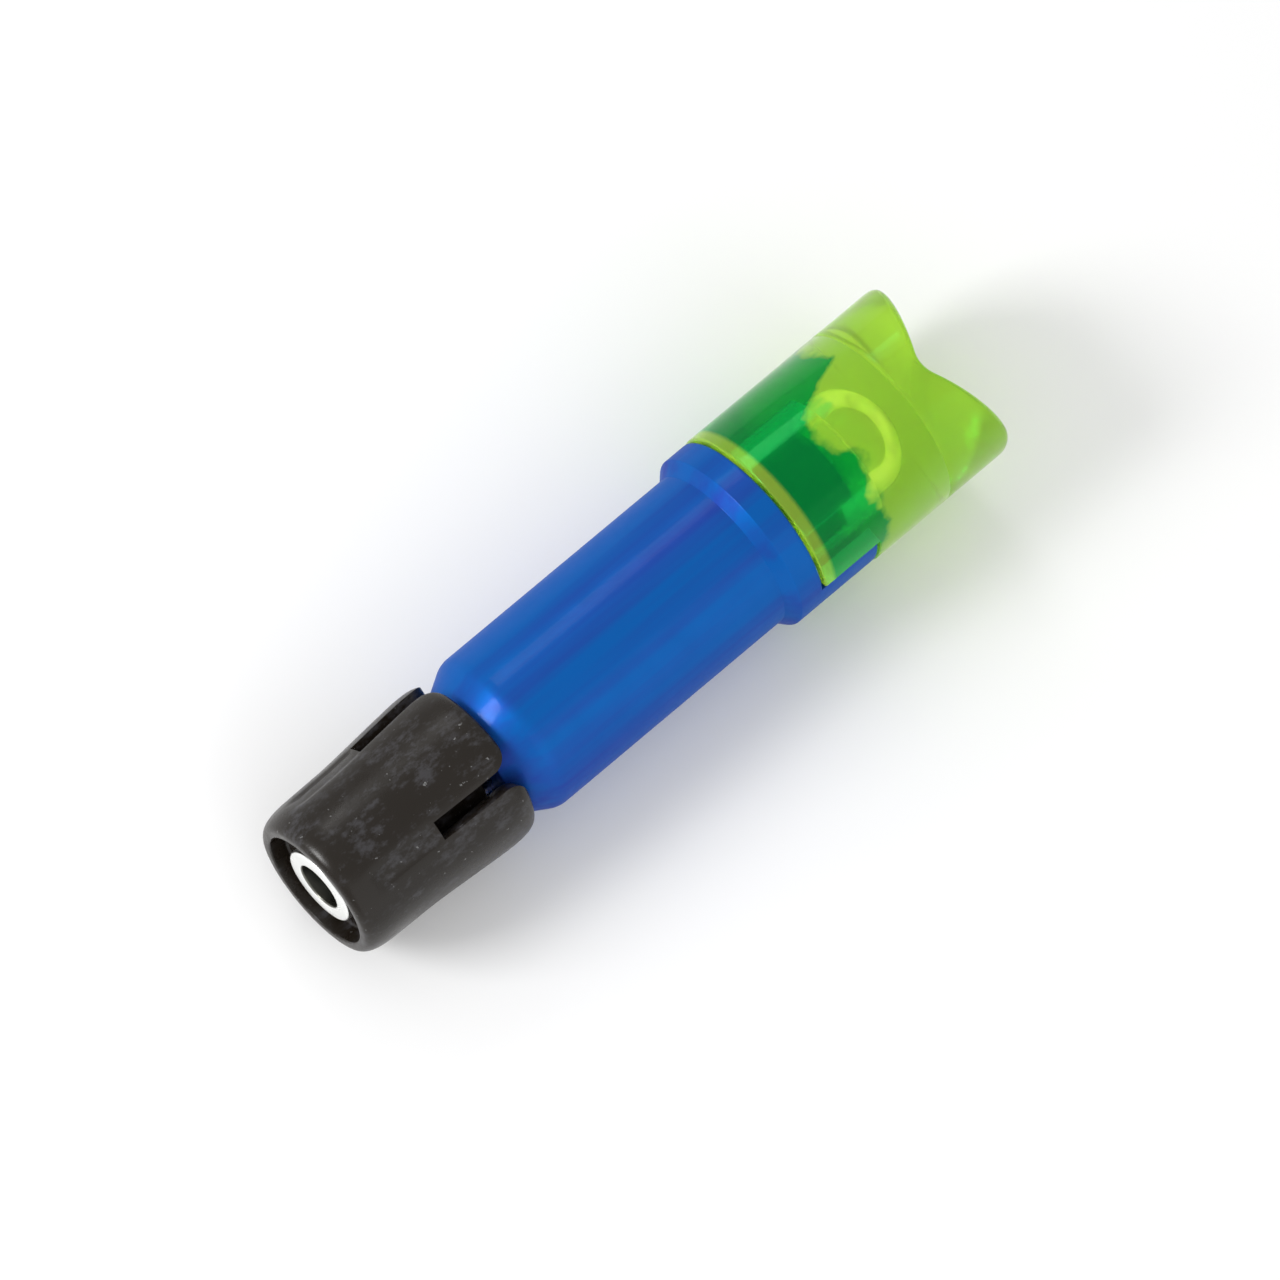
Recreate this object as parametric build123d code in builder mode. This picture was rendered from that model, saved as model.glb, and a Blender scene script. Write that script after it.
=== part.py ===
from build123d import *
import os
from math import cos, radians, sin, tan

# A lighted bolt nock: an aluminium barrel that fits inside a hollow bolt shaft, a clear
# green nock that slides in the front of the barrel and carries the lamp, a pin cell in
# the middle, and a slotted collet behind that grips the shaft's bore.
#
# Millimetres. The origin is on the axis, where the barrel's spigot meets its shoulder.
# +X runs along the axis towards the string, +Z along the string groove, and the barrel's
# key is on the -Y side.

# ---------------------------------------------------------------- driving sizes
SHAFT_BORE_R = 3.81          # the spigot fills a 0.300 inch bore
HEAD_R = 4.365               # the nock is as wide as a 22/64 inch bolt
COLLAR_R = 4.32
COLLAR_X = 1.7
KEY_END_X = 4.8
KEY_HALF_DEG = 17.0
KEYWAY_SIDE_DEG = 1.2        # play of the key in the nock's keyway, each side
KEY_EDGE = 0.08
SPIGOT_END_X = -12.4
BARREL_END_X = -14.25
NOSE_DEG = 30.0
NOSE_BLEND_R = 1.2           # blended, so the nose enters the shaft without scraping

STEM_R = 2.90
STEM_GAP = 0.05              # radial running gap of the nock in the barrel
STEM_END_X = -6.0
STEM_LEAD = 0.3              # lead-in chamfer at the stem's end
STEM_SEAT_X = -6.2           # step in the barrel's bore behind the stem
STEM_ROOM = 0.12             # what is left in front of the collar and the key
HEAD_END_X = 12.5
HEAD_CORNER_R = 0.55
SWITCH_TRAVEL = 1.2          # the nock's stroke from lit to dark

GROOVE_X = 10.5              # bottom of the string groove
GROOVE_R = 1.3
GROOVE_DEG = 27.5            # flank angle, off the plane across the axis
CREST_R = 1.2

LAMP_BORE_R = 1.90
LAMP_BORE_END_X = 6.2
LENS_R = 1.50
LENS_DOME_X = 6.9            # centre of the lamp's dome
LENS_GAP = 0.08
WITNESS_X = 8.9              # the mould's joint line round the head
WITNESS_DEPTH = 0.03
WITNESS_HALF_W = 0.06

CELL_R = 1.50                # a 3 mm pin cell, 11 mm long over its pin
CELL_FRONT_X = -2.5
CELL_BACK_X = -11.5
PIN_TIP_X = -0.5
PIN_R = 0.30
SLEEVE_R = 1.85
SLEEVE_BORE_R = 1.55
SLEEVE_END_X = -2.55
CELL_ROOM_R = 1.90           # bore of the barrel's rear half
TAIL_WALL_X = -12.6

BUSH_R = 1.50
BUSH_BORE_R = 1.07
BUSH_HEAD_R = 1.79
BUSH_HEAD_X = -21.90
BUSH_BACK_X = -22.52

COLLET_TIP_X = -13.8
COLLET_TIP_LIP = 0.25        # thickness of a finger at its very tip
COLLET_TIP_CURVE = (0.28, 0.16)  # how far back and inwards the tip's rounding bulges
COLLET_WIDE_X = -15.1
COLLET_WIDE_R = 3.84
COLLET_WAIST_X = -19.3
COLLET_WAIST_R = 3.57
COLLET_ROUND_X = -21.25
COLLET_ROUND_R = 3.54
COLLET_BACK_X = -22.75
COLLET_RIM_R = 3.0
COLLET_FLOOR_X = -18.6       # bottom of the space behind the fingers
COLLET_HUB_X = -14.9         # front end of the hub that runs on the bush
COLLET_HUB_R = 2.15
COLLET_BORE_R = 1.55
FINGER_BORE_R = 2.98
FINGER_FILLET = 0.2          # chamfer at the bottom of the space behind the fingers
FINGER_GAP = 0.25            # radial gap of the open fingers over the nose cone
SLOT_END_X = -18.0
SLOT_W = 0.92
SLOT_MOUTH_R = 0.9
SLOT_FLOOR_R = 2.3           # the slots stop short of the hub
SLOT_FIRST_DEG = 59.0        # from +Z towards +Y
SLOT_COUNT = 4
RECESS_R = 2.72
RECESS_EDGE = 0.08
RECESS_FLOOR_X = -21.89

NOSE_SLOPE = tan(radians(NOSE_DEG))
BORE_R = STEM_R + STEM_GAP
CUT_SPARE = 1.0              # how far a cutter reaches past the piece
NEAR = 0.01                  # tolerance for picking edges


def nose_r(x):
    """Radius of the barrel's nose cone at x."""
    return SHAFT_BORE_R - (SPIGOT_END_X - x) * NOSE_SLOPE


def ring_section(x_low, x_high, r_in, r_out):
    """Half section of a plain ring, ready to be turned about the X axis."""
    with BuildSketch(Plane.XY) as section:
        with Locations(((x_low + x_high) / 2, (r_in + r_out) / 2)):
            Rectangle(x_high - x_low, r_out - r_in)
    return section.sketch


def finish(piece, label):
    """Label a finished piece and write it."""
    piece.part.label = label
    export_step(piece.part, f"parts/{label}.step")


os.makedirs("parts", exist_ok=True)

# ---------------------------------------------------------------- rings on the stem
LATCH_X = -4.6               # the fat ring that runs in the barrel's relief
LATCH_CORD_R = 0.375
LATCH_MEAN_R = 2.76
LATCH_ROOM_R = 3.20
SEAL_X = -1.0
SEAL_CORD_R = 0.30
SEAL_MEAN_R = 2.64
RING_SIDE = 0.05             # side play of a ring in its groove
latch_back_x = LATCH_X - LATCH_CORD_R - RING_SIDE
latch_front_x = LATCH_X + LATCH_CORD_R + SWITCH_TRAVEL + RING_SIDE

# ---------------------------------------------------------------- barrel
EDGE = 0.12                  # broken edges of the turned parts

with BuildPart() as barrel:
    with BuildSketch(Plane.XY):
        with BuildLine():
            Polyline(
                (BARREL_END_X, BUSH_R),
                (BARREL_END_X, nose_r(BARREL_END_X) - EDGE),
                (BARREL_END_X + EDGE, nose_r(BARREL_END_X + EDGE)),
                (SPIGOT_END_X, SHAFT_BORE_R),
                (0, SHAFT_BORE_R),
                (COLLAR_R - SHAFT_BORE_R, COLLAR_R),
                (COLLAR_X - EDGE, COLLAR_R),
                (COLLAR_X, COLLAR_R - EDGE),
                (COLLAR_X, BORE_R + EDGE),
                (COLLAR_X - EDGE, BORE_R),
                (latch_front_x, BORE_R),
                (latch_front_x, LATCH_ROOM_R),
                (latch_back_x, LATCH_ROOM_R),
                (latch_back_x, BORE_R),
                (STEM_SEAT_X, BORE_R),
                (STEM_SEAT_X, CELL_ROOM_R),
                (TAIL_WALL_X, CELL_ROOM_R),
                (TAIL_WALL_X, BUSH_R),
                close=True,
            )
        make_face()
    revolve(axis=Axis.X)
    nose_edge = barrel.edges().filter_by(GeomType.CIRCLE).filter_by(
        lambda edge: abs(edge.center().X - SPIGOT_END_X) < NEAR
    )
    fillet(nose_edge, radius=NOSE_BLEND_R)
    # The key: a strip of the collar's own wall, left standing in front of it.
    key_root_x = COLLAR_X - 2 * EDGE
    with BuildSketch(Plane.YZ.offset(key_root_x)):
        with BuildLine():
            key_start = 180.0 - KEY_HALF_DEG
            CenterArc((0, 0), COLLAR_R, key_start, 2 * KEY_HALF_DEG)
            CenterArc((0, 0), BORE_R, key_start, 2 * KEY_HALF_DEG)
            for angle in (key_start, key_start + 2 * KEY_HALF_DEG):
                turn = radians(angle)
                Line(
                    (BORE_R * cos(turn), BORE_R * sin(turn)),
                    (COLLAR_R * cos(turn), COLLAR_R * sin(turn)),
                )
        make_face()
    extrude(amount=KEY_END_X - key_root_x)
    key_tip = barrel.faces().sort_by(Axis.X)[-1]
    chamfer(key_tip.edges(), length=KEY_EDGE)
finish(barrel, "barrel")

# ---------------------------------------------------------------- tail bush
with BuildPart() as tail_bush:
    with BuildSketch(Plane.XY):
        with BuildLine():
            Polyline(
                (BUSH_BACK_X, BUSH_BORE_R + EDGE),
                (BUSH_BACK_X, BUSH_HEAD_R - EDGE),
                (BUSH_BACK_X + EDGE, BUSH_HEAD_R),
                (BUSH_HEAD_X, BUSH_HEAD_R),
                (BUSH_HEAD_X, BUSH_R),
                (TAIL_WALL_X, BUSH_R),
                (TAIL_WALL_X, BUSH_BORE_R),
                (BUSH_BACK_X + EDGE, BUSH_BORE_R),
                close=True,
            )
        make_face()
    revolve(axis=Axis.X)
finish(tail_bush, "tail_bush")

# ---------------------------------------------------------------- cell and its seat
with BuildPart() as cell_sleeve:
    revolve(ring_section(TAIL_WALL_X, SLEEVE_END_X, SLEEVE_BORE_R, SLEEVE_R), axis=Axis.X)
finish(cell_sleeve, "cell_sleeve")

GASKET_R = 0.75
GASKET_FRONT_X = CELL_FRONT_X + 0.25
GASKET_BACK_X = CELL_FRONT_X - 0.7
CAN_CORNER_R = 0.18
with BuildPart() as cell_can:
    with BuildSketch(Plane.XY) as can_section:
        add(ring_section(CELL_BACK_X, CELL_FRONT_X, 0, CELL_R))
        can_corners = can_section.vertices().filter_by(lambda corner: corner.Y > CELL_R - NEAR)
        fillet(can_corners, radius=CAN_CORNER_R)
    revolve(axis=Axis.X)
    with BuildSketch(Plane.YZ.offset(CELL_FRONT_X)):
        Circle(GASKET_R)
    extrude(amount=GASKET_BACK_X - CELL_FRONT_X, mode=Mode.SUBTRACT)
finish(cell_can, "cell_can")

with BuildPart() as cell_gasket:
    revolve(ring_section(GASKET_BACK_X, GASKET_FRONT_X, PIN_R, GASKET_R), axis=Axis.X)
finish(cell_gasket, "cell_gasket")

with BuildPart() as cell_pin:
    with BuildSketch(Plane.XY):
        with BuildLine():
            Line((GASKET_BACK_X, 0), (GASKET_BACK_X, PIN_R))
            Line((GASKET_BACK_X, PIN_R), (PIN_TIP_X - PIN_R, PIN_R))
            CenterArc((PIN_TIP_X - PIN_R, 0), PIN_R, 0, 90)
            Line((PIN_TIP_X, 0), (GASKET_BACK_X, 0))
        make_face()
    revolve(axis=Axis.X)
finish(cell_pin, "cell_pin")

WASHER_T = 0.15
WASHER_HOLE_R = 0.8
WASHER_R = 1.52
with BuildPart() as spring_washer:
    revolve(ring_section(CELL_BACK_X - WASHER_T, CELL_BACK_X, WASHER_HOLE_R, WASHER_R), axis=Axis.X)
finish(spring_washer, "spring_washer")

SPRING_WIRE_R = 0.10
SPRING_R = 1.28
SPRING_TURNS = 2.75
spring_back_x = TAIL_WALL_X + SPRING_WIRE_R
spring_length = CELL_BACK_X - WASHER_T - SPRING_WIRE_R - spring_back_x
with BuildPart() as cell_spring:
    coil = Helix(
        pitch=spring_length / SPRING_TURNS,
        height=spring_length,
        radius=SPRING_R,
        center=(spring_back_x, 0, 0),
        direction=(1, 0, 0),
    )
    with BuildSketch(Plane(origin=coil @ 0, z_dir=coil % 0)):
        Circle(SPRING_WIRE_R)
    sweep(path=coil, is_frenet=True)
finish(cell_spring, "cell_spring")

# ---------------------------------------------------------------- lamp
LEAD = 0.45                  # square leads
LEAD_Z = 0.64                # half the lead pitch
LEAD_JOG_X = 2.0
SOCKET_R = 0.60
SOCKET_BORE_R = 0.36
SOCKET_BACK_X = -2.1
SOCKET_HEAD_X = 0.2
SOCKET_HEAD_T = 0.3
SOCKET_HEAD_R = 0.95
SOCKET_EDGE = 0.08
SOCKET_CUT_LENGTH = 1.6      # a saw cut lets the tube spring on the pin
SOCKET_CUT_W = 0.16
RING_BACK_X = CELL_FRONT_X + 0.03  # the lamp is off while this gap is open
RING_T = 0.30
RING_IN_R = 1.10
HOLDER_R = 1.87
ANODE_Z = 1.28               # where the anode passes outside the socket's head
CUP_X = 5.0
CUP_R = 0.55
CUP_T = 0.6
CUP_WALL = 0.08
CUP_DEPTH = 0.3
CUP_TAPER_DEG = 35
CHIP_SIDE = 0.32
CHIP_T = 0.14
LENS_BACK_X = 3.2

with BuildPart() as led_cathode:
    with BuildSketch(Plane.YZ.offset(SOCKET_HEAD_X + SOCKET_HEAD_T)):
        with Locations((0, -LEAD_Z)):
            Rectangle(LEAD, LEAD)
    extrude(amount=CUP_X - SOCKET_HEAD_X - SOCKET_HEAD_T)
    with BuildSketch(Plane.YZ.offset(CUP_X)):
        with Locations((0, -LEAD_Z + CUP_R - LEAD / 2)):
            Circle(CUP_R)
    extrude(amount=CUP_T)
    # The reflector cup that the chip sits in.
    with BuildSketch(Plane.YZ.offset(CUP_X + CUP_T)):
        with Locations((0, -LEAD_Z + CUP_R - LEAD / 2)):
            Circle(CUP_R - CUP_WALL)
    extrude(amount=-CUP_DEPTH, taper=CUP_TAPER_DEG, mode=Mode.SUBTRACT)
finish(led_cathode, "led_cathode")

chip_z = -LEAD_Z + CUP_R - LEAD / 2
with BuildPart() as led_chip:
    with BuildSketch(Plane.YZ.offset(CUP_X + CUP_T - CUP_DEPTH)):
        with Locations((0, chip_z)):
            Rectangle(CHIP_SIDE, CHIP_SIDE)
    extrude(amount=CHIP_T)
finish(led_chip, "led_chip")

with BuildPart() as led_anode:
    # Front half beside the cup, a step outwards, and a tail down to the contact ring.
    for x_low, x_high, z_low, z_high in (
        (LEAD_JOG_X, CUP_X + CUP_T, LEAD_Z - LEAD / 2, LEAD_Z + LEAD / 2),
        (LEAD_JOG_X - LEAD, LEAD_JOG_X, LEAD_Z - LEAD / 2, ANODE_Z + LEAD / 4),
        (RING_BACK_X + RING_T, LEAD_JOG_X, ANODE_Z - LEAD / 4, ANODE_Z + LEAD / 4),
    ):
        with Locations(((x_low + x_high) / 2, 0, (z_low + z_high) / 2)):
            Box(x_high - x_low, LEAD, z_high - z_low)
finish(led_anode, "led_anode")

with BuildPart() as led_lens:
    with BuildSketch(Plane.XY):
        with BuildLine():
            Line((LENS_BACK_X, 0), (LENS_BACK_X, LENS_R))
            Line((LENS_BACK_X, LENS_R), (LENS_DOME_X, LENS_R))
            CenterArc((LENS_DOME_X, 0), LENS_R, 0, 90)
            Line((LENS_DOME_X + LENS_R, 0), (LENS_BACK_X, 0))
        make_face()
    revolve(axis=Axis.X)
    # The lead frame and the chip are cast into the lens.
    add(led_cathode.part, mode=Mode.SUBTRACT)
    add(led_anode.part, mode=Mode.SUBTRACT)
    add(led_chip.part, mode=Mode.SUBTRACT)
finish(led_lens, "led_lens")

with BuildPart() as pin_socket:
    with BuildSketch(Plane.XY):
        with BuildLine():
            Polyline(
                (SOCKET_BACK_X, SOCKET_BORE_R + SOCKET_EDGE),
                (SOCKET_BACK_X, SOCKET_R),
                (SOCKET_HEAD_X, SOCKET_R),
                (SOCKET_HEAD_X, SOCKET_HEAD_R),
                (SOCKET_HEAD_X + SOCKET_HEAD_T, SOCKET_HEAD_R),
                (SOCKET_HEAD_X + SOCKET_HEAD_T, 0),
                (SOCKET_HEAD_X, 0),
                (SOCKET_HEAD_X, SOCKET_BORE_R),
                (SOCKET_BACK_X + SOCKET_EDGE, SOCKET_BORE_R),
                close=True,
            )
        make_face()
    revolve(axis=Axis.X)
    with BuildSketch(Plane.XY.offset(-SOCKET_R)):
        with Locations((SOCKET_BACK_X + SOCKET_CUT_LENGTH / 2, 0)):
            Rectangle(SOCKET_CUT_LENGTH, SOCKET_CUT_W)
    extrude(amount=2 * SOCKET_R, mode=Mode.SUBTRACT)
finish(pin_socket, "pin_socket")

with BuildPart() as contact_ring:
    revolve(ring_section(RING_BACK_X, RING_BACK_X + RING_T, RING_IN_R, HOLDER_R), axis=Axis.X)
finish(contact_ring, "contact_ring")

HOLDER_BORE_R = 1.54
HOLDER_FRONT_X = 5.2
with BuildPart() as lamp_holder:
    revolve(ring_section(RING_BACK_X + RING_T, HOLDER_FRONT_X, HOLDER_BORE_R, HOLDER_R), axis=Axis.X)
finish(lamp_holder, "lamp_holder")

# ---------------------------------------------------------------- nock
HEAD_BACK_X = COLLAR_X + STEM_ROOM
lens_room_r = LENS_R + LENS_GAP
groove_turn = radians(GROOVE_DEG)
groove_low = (GROOVE_X + GROOVE_R * (1 - cos(groove_turn)), GROOVE_R * sin(groove_turn))
crest_low_x = HEAD_END_X - CREST_R * (1 - cos(groove_turn))
crest_low_y = groove_low[1] + (crest_low_x - groove_low[0]) / tan(groove_turn)
crest_y = crest_low_y + CREST_R * sin(groove_turn)


def ring_groove(x_mid, cord_r, mean_r):
    """Corners of a ring's groove in the stem, from the back to the front."""
    floor_r = mean_r - cord_r
    return [
        (x_mid - cord_r - RING_SIDE, STEM_R),
        (x_mid - cord_r - RING_SIDE, floor_r),
        (x_mid + cord_r + RING_SIDE, floor_r),
        (x_mid + cord_r + RING_SIDE, STEM_R),
    ]


with BuildPart() as nock:
    with BuildSketch(Plane.XY):
        with BuildLine():
            Polyline(
                (LENS_DOME_X, lens_room_r),
                (LAMP_BORE_END_X, lens_room_r),
                (LAMP_BORE_END_X, LAMP_BORE_R),
                (STEM_END_X, LAMP_BORE_R),
                (STEM_END_X, STEM_R - STEM_LEAD),
                (STEM_END_X + STEM_LEAD, STEM_R),
                *ring_groove(LATCH_X, LATCH_CORD_R, LATCH_MEAN_R),
                *ring_groove(SEAL_X, SEAL_CORD_R, SEAL_MEAN_R),
                (HEAD_BACK_X, STEM_R),
                (HEAD_BACK_X, HEAD_R - EDGE),
                (HEAD_BACK_X + EDGE, HEAD_R),
                (WITNESS_X - WITNESS_HALF_W, HEAD_R),
                (WITNESS_X, HEAD_R - WITNESS_DEPTH),
                (WITNESS_X + WITNESS_HALF_W, HEAD_R),
                (HEAD_END_X - HEAD_CORNER_R, HEAD_R),
            )
            CenterArc((HEAD_END_X - HEAD_CORNER_R, HEAD_R - HEAD_CORNER_R), HEAD_CORNER_R, 0, 90)
            Polyline(
                (HEAD_END_X, HEAD_R - HEAD_CORNER_R),
                (HEAD_END_X, 0),
                (LENS_DOME_X + lens_room_r, 0),
            )
            CenterArc((LENS_DOME_X, 0), lens_room_r, 0, 90)
        make_face()
    revolve(axis=Axis.X)
    # The string groove runs through the head along Z.
    groove_mouth_x = HEAD_END_X + CUT_SPARE
    with BuildSketch(Plane.XY.offset(-HEAD_R - CUT_SPARE)):
        with BuildLine():
            CenterArc((GROOVE_X + GROOVE_R, 0), GROOVE_R, 180 - GROOVE_DEG, 2 * GROOVE_DEG)
            for side in (1, -1):
                Line((groove_low[0], side * groove_low[1]), (crest_low_x, side * crest_low_y))
                CenterArc(
                    (HEAD_END_X - CREST_R, side * crest_y),
                    CREST_R,
                    side * -GROOVE_DEG,
                    side * GROOVE_DEG,
                )
                Line((HEAD_END_X, side * crest_y), (groove_mouth_x, side * crest_y))
            Line((groove_mouth_x, crest_y), (groove_mouth_x, -crest_y))
        make_face()
    extrude(amount=2 * (HEAD_R + CUT_SPARE), mode=Mode.SUBTRACT)
    # The keyway that the barrel's key slides in.
    keyway_half = KEY_HALF_DEG + KEYWAY_SIDE_DEG
    keyway_out_r = HEAD_R + CUT_SPARE
    with BuildSketch(Plane.YZ.offset(HEAD_BACK_X - NEAR)):
        with BuildLine():
            way_start = 180.0 - keyway_half
            CenterArc((0, 0), keyway_out_r, way_start, 2 * keyway_half)
            CenterArc((0, 0), STEM_R, way_start, 2 * keyway_half)
            for angle in (way_start, way_start + 2 * keyway_half):
                turn = radians(angle)
                Line(
                    (STEM_R * cos(turn), STEM_R * sin(turn)),
                    (keyway_out_r * cos(turn), keyway_out_r * sin(turn)),
                )
        make_face()
    extrude(amount=KEY_END_X + STEM_ROOM - HEAD_BACK_X + NEAR, mode=Mode.SUBTRACT)
finish(nock, "nock")

for ring_name, ring_x, cord_r, mean_r in (
    ("latch_ring", LATCH_X, LATCH_CORD_R, LATCH_MEAN_R),
    ("seal_ring", SEAL_X, SEAL_CORD_R, SEAL_MEAN_R),
):
    with BuildPart() as stem_ring:
        with BuildSketch(Plane.XY):
            with Locations((ring_x, mean_r)):
                Circle(cord_r)
        revolve(axis=Axis.X)
    finish(stem_ring, ring_name)

# ---------------------------------------------------------------- collet
flare_x = COLLET_TIP_X - (nose_r(COLLET_TIP_X) + FINGER_GAP - FINGER_BORE_R) / NOSE_SLOPE
tip_in_r = nose_r(COLLET_TIP_X) + FINGER_GAP
tip_out_r = tip_in_r + COLLET_TIP_LIP
tip_curve_back, tip_curve_in = COLLET_TIP_CURVE

with BuildPart() as collet:
    with BuildSketch(Plane.XY):
        with BuildLine():
            Polyline(
                (COLLET_HUB_X, COLLET_BORE_R),
                (COLLET_HUB_X, COLLET_HUB_R - EDGE),
                (COLLET_HUB_X - EDGE, COLLET_HUB_R),
                (COLLET_FLOOR_X, COLLET_HUB_R),
                (COLLET_FLOOR_X, FINGER_BORE_R - FINGER_FILLET),
                (COLLET_FLOOR_X + FINGER_FILLET, FINGER_BORE_R),
                (flare_x, FINGER_BORE_R),
                (COLLET_TIP_X, tip_in_r),
                (COLLET_TIP_X, tip_out_r),
            )
            Spline(
                (COLLET_TIP_X, tip_out_r),
                (COLLET_TIP_X - tip_curve_back, COLLET_WIDE_R - tip_curve_in),
                (COLLET_WIDE_X, COLLET_WIDE_R),
                tangents=((-0.25, 1, 0), (-1, -0.03, 0)),
            )
            Spline(
                (COLLET_WIDE_X, COLLET_WIDE_R),
                (COLLET_WAIST_X, COLLET_WAIST_R),
                tangents=((-1, -0.03, 0), (-1, -0.02, 0)),
            )
            Line((COLLET_WAIST_X, COLLET_WAIST_R), (COLLET_ROUND_X, COLLET_ROUND_R))
            Spline(
                (COLLET_ROUND_X, COLLET_ROUND_R),
                (COLLET_BACK_X, COLLET_RIM_R),
                tangents=((-1, -0.02, 0), (-0.12, -1, 0)),
            )
            Polyline(
                (COLLET_BACK_X, COLLET_RIM_R),
                (COLLET_BACK_X, RECESS_R + RECESS_EDGE),
                (COLLET_BACK_X + RECESS_EDGE, RECESS_R),
                (RECESS_FLOOR_X, RECESS_R),
                (RECESS_FLOOR_X, COLLET_BORE_R),
                (COLLET_HUB_X, COLLET_BORE_R),
            )
        make_face()
    revolve(axis=Axis.X)
    # The saw slots, with rounded corners where they open between the fingers' tips.
    mouth_back_x = COLLET_TIP_X - SLOT_MOUTH_R
    mouth_half = SLOT_W / 2 + SLOT_MOUTH_R
    for slot in range(SLOT_COUNT):
        outward = SLOT_FIRST_DEG + 360 / SLOT_COUNT * slot
        outward_dir = (0, sin(radians(outward)), cos(radians(outward)))
        slot_plane = Plane(origin=(0, 0, 0), x_dir=(1, 0, 0), z_dir=outward_dir)
        with BuildSketch(slot_plane.offset(SLOT_FLOOR_R)):
            with BuildLine():
                Polyline(
                    (mouth_back_x, SLOT_W / 2),
                    (SLOT_END_X, SLOT_W / 2),
                    (SLOT_END_X, -SLOT_W / 2),
                    (mouth_back_x, -SLOT_W / 2),
                )
                CenterArc((mouth_back_x, -mouth_half), SLOT_MOUTH_R, 0, 90)
                Polyline(
                    (COLLET_TIP_X, -mouth_half),
                    (COLLET_TIP_X + CUT_SPARE, -mouth_half),
                    (COLLET_TIP_X + CUT_SPARE, mouth_half),
                    (COLLET_TIP_X, mouth_half),
                )
                CenterArc((mouth_back_x, mouth_half), SLOT_MOUTH_R, 270, 90)
            make_face()
        extrude(amount=COLLET_WIDE_R + CUT_SPARE - SLOT_FLOOR_R, mode=Mode.SUBTRACT)
finish(collet, "collet")
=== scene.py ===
"""Looks of a lighted crossbow bolt nock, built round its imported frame.

Everything is in metres in the row frame: +X along the axis towards the string, +Z along
the string groove, and the barrel's key on the -Y side. Sizes in the dataclasses are in
millimetres, as on the maker's drawing, and are turned into metres when a mesh is made.
"""
import logging
import math
from dataclasses import dataclass, field
from enum import Enum
from typing import Callable, Sequence

import bmesh
import bpy
import numpy as np
from mathutils import Matrix, Vector


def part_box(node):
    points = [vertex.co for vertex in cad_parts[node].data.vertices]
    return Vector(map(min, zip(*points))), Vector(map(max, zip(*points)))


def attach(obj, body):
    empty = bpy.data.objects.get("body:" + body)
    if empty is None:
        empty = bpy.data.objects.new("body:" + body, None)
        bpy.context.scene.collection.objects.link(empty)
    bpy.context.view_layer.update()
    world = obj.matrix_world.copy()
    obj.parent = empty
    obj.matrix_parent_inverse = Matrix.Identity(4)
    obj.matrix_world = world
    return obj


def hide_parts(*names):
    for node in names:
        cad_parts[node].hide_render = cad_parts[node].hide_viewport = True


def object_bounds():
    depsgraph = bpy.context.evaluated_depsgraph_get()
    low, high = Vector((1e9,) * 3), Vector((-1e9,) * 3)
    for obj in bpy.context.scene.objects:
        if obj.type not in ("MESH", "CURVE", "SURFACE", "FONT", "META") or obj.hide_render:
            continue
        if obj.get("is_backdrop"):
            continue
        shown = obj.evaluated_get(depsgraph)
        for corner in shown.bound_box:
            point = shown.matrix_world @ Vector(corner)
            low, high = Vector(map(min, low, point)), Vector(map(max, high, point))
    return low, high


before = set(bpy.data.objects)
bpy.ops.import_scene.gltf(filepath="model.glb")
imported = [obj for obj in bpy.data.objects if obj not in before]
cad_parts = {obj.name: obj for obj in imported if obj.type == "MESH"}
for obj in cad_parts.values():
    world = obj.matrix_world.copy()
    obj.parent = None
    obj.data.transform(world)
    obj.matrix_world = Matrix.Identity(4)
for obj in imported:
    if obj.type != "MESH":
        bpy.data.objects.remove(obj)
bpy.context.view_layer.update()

MM = 0.001
log = logging.getLogger("lighted_nock")

Point = tuple[float, float]
Colour = tuple[float, float, float]


# ------------------------------------------------------------------ sizes from the frame
def reach(node: str) -> tuple[Vector, Vector]:
    """A CAD node's lowest and highest corners, in millimetres.

    Args:
        node: The CAD node's name.

    Returns:
        The two corners.
    """
    low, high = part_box(node)
    return low / MM, high / MM


# ------------------------------------------------------------------ outlines
@dataclass(frozen=True)
class Corner:
    """A corner of a turned outline: its place along the axis, its radius and its rounding."""

    x: float
    r: float
    soft: float = 0.0


def softened(corners: Sequence[Corner], steps: int = 5, closed: bool = False) -> list[Point]:
    """Round an outline's corners.

    Args:
        corners: The outline, in order.
        steps: Points on each rounded corner, less one.
        closed: True if the last corner joins the first.

    Returns:
        The outline's points as (x, r).
    """
    points: list[Point] = []
    count = len(corners)
    for i, corner in enumerate(corners):
        here = np.array((corner.x, corner.r))
        end = not closed and i in (0, count - 1)
        if corner.soft <= 0 or end:
            points.append((corner.x, corner.r))
            continue
        before, after = corners[i - 1], corners[(i + 1) % count]
        back = np.array((before.x, before.r)) - here
        ahead = np.array((after.x, after.r)) - here
        back, ahead = back / np.linalg.norm(back), ahead / np.linalg.norm(ahead)
        half = 0.5 * math.acos(float(np.clip(back @ ahead, -1, 1)))
        length = corner.soft / math.tan(half)
        middle = here + (back + ahead) / np.linalg.norm(back + ahead) * corner.soft / math.sin(half)
        start, finish = here + back * length - middle, here + ahead * length - middle
        sweep = math.pi - 2 * half
        for step in range(steps + 1):
            t = step / steps
            arm = (math.sin((1 - t) * sweep) * start + math.sin(t * sweep) * finish) / math.sin(sweep)
            points.append(tuple(middle + arm))
    return points


def eased(t: float) -> float:
    """A smooth step from 0 to 1."""
    t = min(max(t, 0.0), 1.0)
    return t * t * (3 - 2 * t)


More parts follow.
